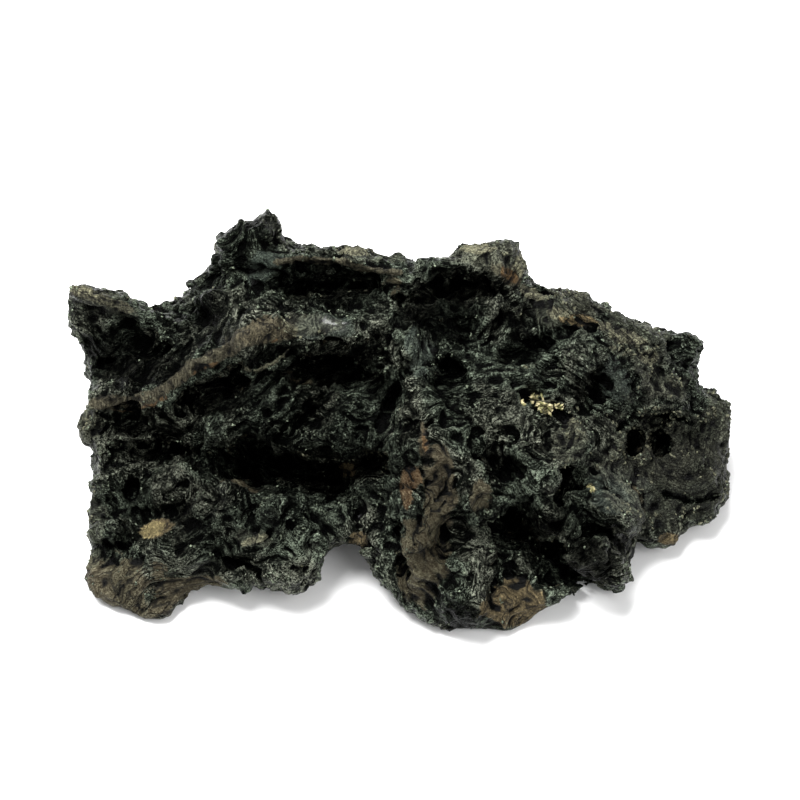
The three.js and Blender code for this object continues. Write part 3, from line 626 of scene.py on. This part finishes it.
# Painted half shade: places in shade, coloured part of the way to black, with fainter pale lines.
PAINTED_HALF_SHADE_SPOTS = [
    (-24, 3.6, 20, 8.5, 8), (-16, 0, 13, 6.5, 0),
    (8, 21, 10, 7, 0), (-29, 36, 9, 7, 40), (-40, 30, 9, 7, 40), (26, 20, 8, 6, 0),
    (2, -6, 6, 8, 0), (8, -18, 7, 12, 0), (-40, -19, 23, 12, 0), (56, -8, 10, 11, 0),
    (-40, 18, 10, 4, -10), (34, -22, 12, 10, 0),
]
# Smooth enough to shine.
GLOSSY_SPOTS = [(-13, 19.6, 2.8, 1.5, -10), (-7.2, -17.8, 0.7, 0.6, 0)]
# Painted highlight: here more of the pale lines, which are partly painted glints, show than elsewhere.
LINE_AND_GLINT_SPOTS = [
    (-47, -26.6, 10, 4, -5), (-50, -2.6, 5, 3, 0), (-43, -12.6, 5, 4, 0),
    (18, 33, 8, 3, 0), (14, -28, 5, 8, 10), (-20, -27, 6, 8, 0), (42, 16, 11, 4, -15), (-60, 3, 4, 2, 0),
    (22, -2, 6, 4, 0), (25, -14.6, 4, 3, 0),
]


def crest_height(mesh, rounds):
    """How far each point stands out from its surroundings, in millimetres; below 0 in a crease.

    Each round takes in points one edge further away.
    """
    points = mesh_points(mesh)
    edges = np.empty(len(mesh.edges) * 2, dtype=np.int32)
    mesh.edges.foreach_get("vertices", edges)
    start, end = edges.reshape(-1, 2).T
    count = len(points)
    neighbours = np.bincount(start, minlength=count) + np.bincount(end, minlength=count)
    mean = points.copy()
    for _ in range(rounds):
        mean = np.stack([
            (np.bincount(start, mean[end, axis], count) + np.bincount(end, mean[start, axis], count))
            / neighbours
            for axis in range(3)
        ], axis=1)
    return np.sum((points - mean) * mesh_normals(mesh), axis=1)


BEHIND_DUST = 0.8  # dusts on the unseen sides, as a share of those on the show face
# How far to black the painted half shade goes.
PAINTED_HALF_SHADE_SHARE = 0.6  # how far to black the dim spots are
# Rounds that a fine crest is measured over, and a full crest's height; the same for a lobe's brow.
CREST_SPREAD, CREST_FULL = 3, 0.4
BROW_SPREAD, BROW_FULL = 16, 1.2


def colour_masks(mesh):
    """How much of each colour and finish lies at each point, the painted shade among them."""
    points = mesh_points(mesh)
    face = face_coordinates(points)
    front = facing_share(mesh_normals(mesh)) * on_top(face)
    behind = (1 - front) * BEHIND_DUST
    mottled = layered_swell(points, 13.0, 3, salt=81)
    # Painted shade: the shade spots, the pits and the creases between lobes, coloured near black; dusts
    # are thinner there.
    black = np.max([patch(face, PAINTED_SHADE_SPOTS), patch(face, PITS), crease_share(face)], axis=0)
    open_front = front * (1 - 0.85 * black)
    seam = ribbon(face, PALE_SEAM, PALE_SEAM_WIDTH)
    return {
        "brown": patch(face, BROWN_SPOTS) * open_front + behind * smooth_step(0.1, 0.6, mottled),
        "tan": patch(face, TAN_SPOTS) * front,
        "orange": np.maximum(patch(face, ORANGE_SPOTS), 0.8 * rusty_edge(face)) * front,
        "teal": patch(face, TEAL_SPOTS) * open_front,
        "olive": patch(face, OLIVE_SPOTS) * open_front + behind * smooth_step(0.1, 0.6, -mottled),
        "straw": np.maximum(patch(face, STRAW_SPOTS), seam) * front,
        "ochre": patch(face, OCHRE_SPOTS) * front,
        "cream": patch(face, CREAM_SPOTS, 0.5) * front,
        "black": np.maximum(black, PAINTED_HALF_SHADE_SHARE * patch(face, PAINTED_HALF_SHADE_SPOTS)) * front,
        "crumbly": patch(face, CRUMBLY_SPOTS),
        "gloss": patch(face, GLOSSY_SPOTS) * front,
        "pale": patch(face, LINE_AND_GLINT_SPOTS) * front,
        "rim": rim_share(face) * front,
        "crest": np.clip(crest_height(mesh, CREST_SPREAD) / CREST_FULL, -1, 1),
        "brow": np.clip(crest_height(mesh, BROW_SPREAD) / BROW_FULL, -1, 1),
    }


def grain_shares(masks, points):
    """Where each kind of grain sits, from 0 to 1."""
    crusted = np.clip(masks["olive"] + masks["straw"], 0, 1)
    dusty = np.clip(
        masks["brown"] + masks["rim"] + crusted + masks["tan"] + masks["orange"], 0, 1)
    # Fewer grains in the painted shade.
    lit = 1 - 0.95 * masks["black"]
    clear_of_table = smooth_step(1.0, 3.0, points[:, 2])
    standing = smooth_step(-0.2, 0.4, masks["crest"]) * clear_of_table
    clusters = smooth_step(0.0, 0.5, layered_swell(points, 5.0, 2, salt=85))
    return {
        "glint_share": (1 - 0.8 * dusty) * lit * clusters * standing,
        "crust_share": crusted * lit * clusters * standing,
        "cream_share": smooth_step(0.3, 0.8, masks["cream"]) * standing,
    }


def store(mesh, name, kind, field, values):
    """Keeps the values on the mesh as an attribute that materials and grains can read."""
    attribute = mesh.attributes.new(name, kind, "POINT")
    attribute.data.foreach_set(field, values.astype(np.float32).ravel())


lump_points = mesh_points(lump.data)
colours = colour_masks(lump.data)
for name, values in {**colours, **grain_shares(colours, lump_points)}.items():
    store(lump.data, name, "FLOAT", "value", values)
flow_places = flow_place(face_coordinates(lump_points)) * MM
store(lump.data, "flow", "FLOAT_VECTOR", "vector", flow_places)


# ---- Shader maths ----
class Value:
    """A node's output; sums, differences and products of such numbers become Math nodes."""

    def __init__(self, look, socket):
        self.look = look
        self.socket = socket

    def __add__(self, other):
        return self.look.math("ADD", self, other)

    def __sub__(self, other):
        return self.look.math("SUBTRACT", self, other)

    def __rsub__(self, other):
        return self.look.math("SUBTRACT", other, self)

    def __mul__(self, other):
        return self.look.math("MULTIPLY", self, other)

    __radd__ = __add__
    __rmul__ = __mul__

    def step(self, low, high):
        """0 below low, 1 above high, smooth between."""
        return self.look.node(
            "ShaderNodeMapRange", {"Value": self, "From Min": low, "From Max": high},
            interpolation_type="SMOOTHSTEP")

    def ridge(self):
        """A crest where a noise passes its middle."""
        return 1 - self.look.math("ABSOLUTE", self * 2 - 1)


class Look:
    """A material under construction: one method makes every node."""

    def __init__(self, name):
        self.material = bpy.data.materials.new(name)
        self.material.use_nodes = True
        self.nodes = self.material.node_tree.nodes
        self.links = self.material.node_tree.links
        self.surface = self.nodes["Principled BSDF"]
        self.place = self.node("ShaderNodeTexCoord", {}, output="Object")

    def node(self, kind, inputs, output=0, **settings):
        """Makes any node: its settings first, then the values or links of its inputs."""
        made = self.nodes.new(kind)
        for setting, value in settings.items():
            setattr(made, setting, value)
        for name, value in inputs.items():
            self.feed(made.inputs[name], value)
        return Value(self, made.outputs[output])

    def feed(self, socket, value):
        """Links a node's output to a socket, or sets the socket's own value."""
        if isinstance(value, Value):
            self.links.new(value.socket, socket)
        else:
            socket.default_value = value

    def math(self, operation, first, second=0.0):
        return self.node("ShaderNodeMath", {0: first, 1: second}, operation=operation)

    def attribute(self, name, output="Fac"):
        """Values that are kept on the mesh under this name."""
        return self.node("ShaderNodeAttribute", {}, output=output, attribute_name=name)

    def noise(self, size, detail=2.0, roughness=0.5, place=None):
        """Noise whose hills are `size` millimetres across, from 0 to 1."""
        return self.node(
            "ShaderNodeTexNoise",
            {"Vector": place or self.place, "Scale": 1 / (size * MM), "Detail": detail,
             "Roughness": roughness})

    def stretched(self, x, y, z):
        """The place on the object with its x, y and z scaled."""
        return self.node(
            "ShaderNodeVectorMath", {0: self.place, 1: (x, y, z)}, operation="MULTIPLY")

    def mix(self, share, first, second):
        """Blends two colours."""
        return self.node(
            "ShaderNodeMix", {0: share, 6: first, 7: second}, output=2, data_type="RGBA")

    def bump(self, height, distance):
        """Normals of a surface that rises `distance` millimetres where the height is 1."""
        return self.node(
            "ShaderNodeBump", {"Height": height, "Distance": distance * MM, "Strength": 1.0})

    def finish(self, **inputs):
        """Feeds the surface's inputs, named in small letters, and gives the finished material."""
        for name, value in inputs.items():
            label = name.replace("_", " ").title().replace("Ior", "IOR")
            self.feed(self.surface.inputs[label], value)
        return self.material


# ---- The lump's look ----
BLACK = (0.0022, 0.0030, 0.0020)
# Painted shade in creases, pits and deep places; also the colour of the cracks.
PAINTED_SHADE_AND_CRACK_BLACK = (0.0006, 0.0007, 0.0006)
# Pale lines: partly painted glints on what stands out, partly pale dust.
LINE_AND_GLINT_GREY = (0.200, 0.212, 0.162)
LINE_AND_GLINT_GREEN = (0.170, 0.204, 0.151)
# Dusts: the mask that places each one, its colour, how fully it covers the black, how frayed it is,
# and how much the pale lines stand out in it.
DUSTS = [
    ("teal", (0.034, 0.046, 0.038), 0.5, 1.2, 0.6),
    ("brown", (0.050, 0.038, 0.019), 0.7, 1.2, 0.5),
    ("rim", (0.052, 0.045, 0.027), 0.85, 1.2, 0.6),
    ("olive", (0.047, 0.048, 0.031), 0.55, 1.3, 0.8),
    ("straw", (0.100, 0.096, 0.060), 0.75, 1.1, 0.7),
    ("tan", (0.075, 0.057, 0.028), 0.95, 0.7, 0.6),
    ("orange", (0.080, 0.039, 0.012), 0.6, 0.9, 0.5),
    ("ochre", (0.128, 0.104, 0.048), 0.85, 1.3, 0.35),
    ("cream", (0.20, 0.18, 0.09), 1.0, 1.0, 0.5),
]
DUST_EDGE = (0.75, 1.3)
# Where a noise's crest or rise becomes a pale line: from no line to a full one.
WORM_LINE = (0.87, 0.955)
CURL_LINE = (0.89, 0.965)
SWIRL_LINE = (0.3, 0.95)
HAIR_LINE = (0.45, 0.62)
SWIRL_PACE = 70  # radians of the swirls' sine from one step of their noise to the next
# Sizes of the noises that draw the surface.
WORM_SIZE = 0.62
CURL_SIZE = 0.6
SWIRL_SIZE = 3.2
HAIR_SIZE = 0.45
GRAIN_SIZE = 0.42
PATCH_SIZE = 6.0
CLEARING_SIZE = 1.7
TINT_SIZE = 13.0
CRACK_SIZE = 2.4
CRUMB_SIZE = 1.5
# How far the surface stands out where lines begin, and where they are at full strength.
STANDING_OUT = (0.05, 0.65)
DRAWN = (0.41, 0.60)  # the same for the noises that leave some places without lines
RELIEF_DEPTH = 0.75
COAT = 0.4  # how much of a clear coat the glossy spots have


def shade(colour, strength=1.0):
    """A colour made stronger or weaker, with the fourth number that a socket asks for."""
    return tuple(channel * strength for channel in colour) + (1.0,)


def crack_share(look, flow, crumbly):
    """1 on the surface, 0 in its cracks; crumbly places have more of them."""
    cracks = (1 - look.noise(CRACK_SIZE, 2.0, 0.6, flow).ridge()).step(0.0, 0.06)
    crumbs = (1 - look.noise(CRUMB_SIZE, 2.0, 0.6).ridge()).step(0.02, 0.14)
    crumbling = crumbly * 0.8
    return cracks * (crumbs * crumbling + 1 - crumbling)


def goethite_look():
    """Black and glossy, with fine pale lines on what stands out that are partly painted glints, dusts of
    many colours, and painted shade in deep places and creases.
    """
    look = Look("black_goethite")
    flow = look.attribute("flow", "Vector")
    crest, brow, pale, rim, black, crumbly = (
        look.attribute(name) for name in ("crest", "brow", "pale", "rim", "black", "crumbly"))
    worms = look.noise(WORM_SIZE, 3.0, 0.6, flow)
    curls = look.noise(CURL_SIZE, 3.0, 0.6)
    swirls = look.noise(SWIRL_SIZE, 1.5, 0.45, flow)
    hairs = look.noise(HAIR_SIZE, 3.0, 0.65, look.stretched(1, 0.3, 0.3))
    grain = look.noise(GRAIN_SIZE, 2.0, 0.6)
    patches = look.noise(PATCH_SIZE, 3.0)
    clearings = look.noise(CLEARING_SIZE, 2.0)

    # Pale lines, partly painted glints and partly pale dust, where the surface stands out and the
    # clearings leave them; fainter in the painted shade.
    worm_lines = worms.ridge().step(*WORM_LINE)
    curl_lines = curls.ridge().step(*CURL_LINE)
    swirl_lines = look.math("SINE", swirls * SWIRL_PACE).step(*SWIRL_LINE)
    curled = look.math("MAXIMUM", patches.step(0.42, 0.58), crumbly)
    lines = worm_lines * (1 - curled * 0.7) + curl_lines * curled * 0.8
    lines = lines + swirl_lines * (0.45 - curled * 0.3)
    lines = lines * (1 - rim) + hairs.step(*HAIR_LINE) * rim
    standing_out = (crest * 0.35 + brow * 0.3 + 0.42 + pale * 0.2).step(*STANDING_OUT)
    drawn = (grain * 0.5 + clearings * 0.3 + patches * 0.2 + pale * 0.06).step(*DRAWN)
    lit = lines * standing_out * drawn * (0.87 - black * 0.77)

    # Dusts, frayed by the grain and the lines, one over another.
    # Painted shade: the black ground is darker still in the painted-shade places.
    ground = look.mix(black, shade(BLACK), shade(PAINTED_SHADE_AND_CRACK_BLACK))
    green = look.noise(TINT_SIZE, 2.0).step(0.42, 0.56)
    line = look.mix(green, shade(LINE_AND_GLINT_GREY), shade(LINE_AND_GLINT_GREEN))
    frays = (grain - 0.5) * 0.9 + (worms - 0.5) * 1.3 + (curls - 0.5) * 0.5 + crest * 0.3
    frays = frays * (1 - rim * 0.5) + (hairs - 0.5) * rim
    dusty = 0.0
    for name, tone, cover, frayed, contrast in DUSTS:
        laid = (look.attribute(name) * 1.6 + frays * frayed).step(*DUST_EDGE) * cover
        ground = look.mix(laid, ground, shade(tone, 1 - contrast))
        line = look.mix(laid, line, shade(tone, 1 + 2 * contrast))
        dusty = laid * 0.5 + dusty
    lit = look.math("MAXIMUM", lit, dusty * (lines * 0.6 + grain.step(0.45, 0.7) * 0.6))
    colour = look.mix(lit, ground, line)

    # Painted shade in the creases, where the surface lies below its surroundings, and dark cracks.
    cracks = crack_share(look, flow, crumbly)
    open_share = (crest + brow * 0.4).step(-0.9, 0.0) * (cracks * 0.8 + 0.2)
    open_share = look.math("MAXIMUM", open_share, look.attribute("ochre").step(0.3, 0.9) * 0.7)
    colour = look.mix(open_share, shade(PAINTED_SHADE_AND_CRACK_BLACK), colour)
    height = worms.ridge() * 0.6 + curls.ridge() * 0.5 + swirl_lines * 0.15 + grain * 0.4
    roughness = look.math("MINIMUM", 0.3 + dusty * 0.6 + patches * 0.2, 0.95)
    metallic = look.math("MAXIMUM", 0.88 - dusty * 1.4 - lit * 0.3 + black * 0.12, 0.0)
    return look.finish(
        base_color=colour, roughness=roughness, metallic=metallic,
        normal=look.bump(height + cracks * 0.4, RELIEF_DEPTH),
        coat_weight=look.attribute("gloss") * COAT, coat_roughness=0.25, specular_ior_level=0.15)


lump.data.materials.clear()
lump.data.materials.append(goethite_look())

# ---- Grains, strewn over the lump ----
TONE_SIZE = 0.9
SCRATCH_SIZE = 0.12
CHIP_SIDES = 4
# A chip's widths and height, for a grain of size 1.
CHIP_TOP, CHIP_FOOT, CHIP_HIGH = 0.3, 0.6, 0.5
CHIP_SUNK = 0.2
CHIP_FLATTENED = 0.55
CHIP_TIPPED = 0.5  # how many radians a chip may lean to any side
ALL_ROUND = 6.28  # and how many it may turn


def grain_look(name, tones, roughness, metallic):
    """A grain's colour wanders between two tones from one grain to the next."""
    look = Look(name)
    wander = look.noise(TONE_SIZE, 1.0).step(0.35, 0.65)
    scratches = look.noise(SCRATCH_SIZE, 2.0, 0.6)
    colour = look.mix(wander, shade(tones[0]), shade(tones[1]))
    return look.finish(
        base_color=colour, roughness=scratches * 0.2 + roughness, metallic=metallic,
        normal=look.bump(scratches, 0.05), specular_ior_level=0.2)


def strewing_tree(material):
    """Angular grains on a mesh's faces; each is a low chip of its own size and turn."""
    tree = bpy.data.node_groups.new("strewn_grains", "GeometryNodeTree")
    tree.interface.new_socket("Geometry", in_out="INPUT", socket_type="NodeSocketGeometry")
    for name, kind in [
        ("Share", "NodeSocketFloat"), ("Grains per square metre", "NodeSocketFloat"),
        ("Smallest", "NodeSocketFloat"), ("Largest", "NodeSocketFloat"), ("Seed", "NodeSocketInt"),
    ]:
        tree.interface.new_socket(name, in_out="INPUT", socket_type=kind)
    tree.interface.new_socket("Geometry", in_out="OUTPUT", socket_type="NodeSocketGeometry")

    def add(kind, inputs, **settings):
        """Makes a node of the tree; inputs are links or values."""
        node = tree.nodes.new(kind)
        for setting, value in settings.items():
            setattr(node, setting, value)
        for key, value in inputs.items():
            if isinstance(value, bpy.types.NodeSocket):
                tree.links.new(value, node.inputs[key])
            else:
                node.inputs[key].default_value = value
        return node

    given = add("NodeGroupInput", {}).outputs
    density = add(
        "ShaderNodeMath", {0: given["Share"], 1: given["Grains per square metre"]},
        operation="MULTIPLY")
    points = add(
        "GeometryNodeDistributePointsOnFaces",
        {"Mesh": given["Geometry"], "Density": density.outputs[0], "Seed": given["Seed"]})
    chip = add(
        "GeometryNodeMeshCone",
        {"Vertices": CHIP_SIDES, "Radius Top": CHIP_TOP, "Radius Bottom": CHIP_FOOT,
         "Depth": CHIP_HIGH})
    laid = add(
        "GeometryNodeTransform",
        {"Geometry": chip.outputs["Mesh"], "Translation": (0, 0, -CHIP_SUNK),
         "Scale": (1.0, CHIP_FLATTENED, 1.0)})
    turn = add(
        "FunctionNodeRandomValue",
        {"Min": (-CHIP_TIPPED, -CHIP_TIPPED, 0), "Max": (CHIP_TIPPED, CHIP_TIPPED, ALL_ROUND),
         "Seed": given["Seed"]},
        data_type="FLOAT_VECTOR")
    tipped = add(
        "FunctionNodeRotateRotation",
        {"Rotation": points.outputs["Rotation"], "Rotate By": turn.outputs["Value"]},
        rotation_space="LOCAL")
    low = add("ShaderNodeCombineXYZ", {axis: given["Smallest"] for axis in "XYZ"}).outputs[0]
    high = add("ShaderNodeCombineXYZ", {axis: given["Largest"] for axis in "XYZ"}).outputs[0]
    size = add(
        "FunctionNodeRandomValue", {"Min": low, "Max": high, "Seed": given["Seed"]},
        data_type="FLOAT_VECTOR")
    grains = add("GeometryNodeInstanceOnPoints", {
        "Points": points.outputs["Points"], "Instance": laid.outputs["Geometry"],
        "Rotation": tipped.outputs["Rotation"], "Scale": size.outputs["Value"]})
    real = add("GeometryNodeRealizeInstances", {"Geometry": grains.outputs["Instances"]})
    dressed = add(
        "GeometryNodeSetMaterial", {"Geometry": real.outputs["Geometry"], "Material": material})
    add("NodeGroupOutput", {"Geometry": dressed.outputs["Geometry"]})
    return tree


def strew(name, share, per_square_mm, smallest, largest, seed, material):
    """Grains `smallest` to `largest` millimetres across where the share attribute says."""
    carrier = bpy.data.objects.new(name + "_ground", lump.data)
    bpy.context.collection.objects.link(carrier)
    modifier = carrier.modifiers.new("grains", "NODES")
    modifier.node_group = strewing_tree(material)
    sockets = {
        item.name: item.identifier for item in modifier.node_group.interface.items_tree
        if item.in_out == "INPUT"}
    modifier[sockets["Share"] + "_use_attribute"] = True
    modifier[sockets["Share"] + "_attribute_name"] = share
    modifier[sockets["Grains per square metre"]] = per_square_mm / MM**2
    modifier[sockets["Smallest"]] = smallest * MM
    modifier[sockets["Largest"]] = largest * MM
    modifier[sockets["Seed"]] = seed
    evaluated = carrier.evaluated_get(bpy.context.evaluated_depsgraph_get())
    grains = bpy.data.objects.new(name, bpy.data.meshes.new_from_object(evaluated))
    bpy.data.objects.remove(carrier)
    bpy.context.collection.objects.link(grains)
    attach(grains, "root")


GLINT_TONES = ((0.006, 0.007, 0.006), (0.12, 0.14, 0.10))
CRUST_TONES = ((0.02, 0.02, 0.012), (0.11, 0.11, 0.07))
CREAM_TONES = ((0.12, 0.12, 0.045), (0.40, 0.35, 0.20))

strew(
    "glinting_grains", "glint_share", per_square_mm=2.2, smallest=0.3, largest=0.9, seed=1,
    material=grain_look("glinting_goethite", GLINT_TONES, roughness=0.4, metallic=0.9))
strew(
    "crust_grains", "crust_share", per_square_mm=2.0, smallest=0.4, largest=1.1, seed=2,
    material=grain_look("olive_crust", CRUST_TONES, roughness=0.6, metallic=0.0))
strew(
    "cream_crystals", "cream_share", per_square_mm=3.5, smallest=0.6, largest=1.7, seed=3,
    material=grain_look("cream_mineral", CREAM_TONES, roughness=0.4, metallic=0.0))

# ---- Floor, light and camera, in metres ----
FLOOR_REACH = 3
FLOOR_WHITE = (0.88, 0.88, 0.88)
SKY_STRENGTH = 0.75
LENS = 150  # this and the sensor's width are in millimetres
SENSOR = 36
VIEW_BACK = Vector((0, -math.cos(SHOW_TILT), math.sin(SHOW_TILT)))
VIEW_CENTRE = Vector((0, -0.00676, 0.03088))
VIEW_DISTANCE = 0.645

floor_mesh = bpy.data.meshes.new("floor")
floor_corners = [(x * FLOOR_REACH, y * FLOOR_REACH, 0) for x, y in [(-1, -1), (1, -1), (1, 1), (-1, 1)]]
floor_mesh.from_pydata(floor_corners, [], [(0, 1, 2, 3)])
floor = bpy.data.objects.new("floor", floor_mesh)
bpy.context.collection.objects.link(floor)
floor_look = Look("pale_floor")
floor.data.materials.append(floor_look.finish(base_color=shade(FLOOR_WHITE), roughness=0.9))

world = bpy.data.worlds.new("studio")
world.use_nodes = True
sky = world.node_tree.nodes["Background"].inputs
sky["Color"].default_value = (1, 1, 1, 1)
sky["Strength"].default_value = SKY_STRENGTH
bpy.context.scene.world = world


def soft_box(name, place, size, power):
    """A square light that shines on the middle of the floor."""
    light = bpy.data.lights.new(name, "AREA")
    light.size = size
    light.energy = power
    holder = bpy.data.objects.new(name, light)
    holder.location = place
    holder.rotation_euler = (-Vector(place)).to_track_quat("-Z", "Y").to_euler()
    bpy.context.collection.objects.link(holder)


soft_box("key_light", place=(-0.3, 0.2, 1.05), size=0.7, power=38)
soft_box("front_fill", place=(0.5, -0.5, 0.7), size=0.5, power=4)

camera = bpy.data.cameras.new("camera")
camera.lens = LENS
camera.sensor_width = SENSOR
camera.clip_start = 0.05
viewer = bpy.data.objects.new("camera", camera)
viewer.location = VIEW_CENTRE + VIEW_BACK * VIEW_DISTANCE
viewer.rotation_euler = (-VIEW_BACK).to_track_quat("-Z", "Y").to_euler()
bpy.context.collection.objects.link(viewer)
bpy.context.scene.camera = viewer
bpy.context.scene.view_settings.view_transform = "Standard"
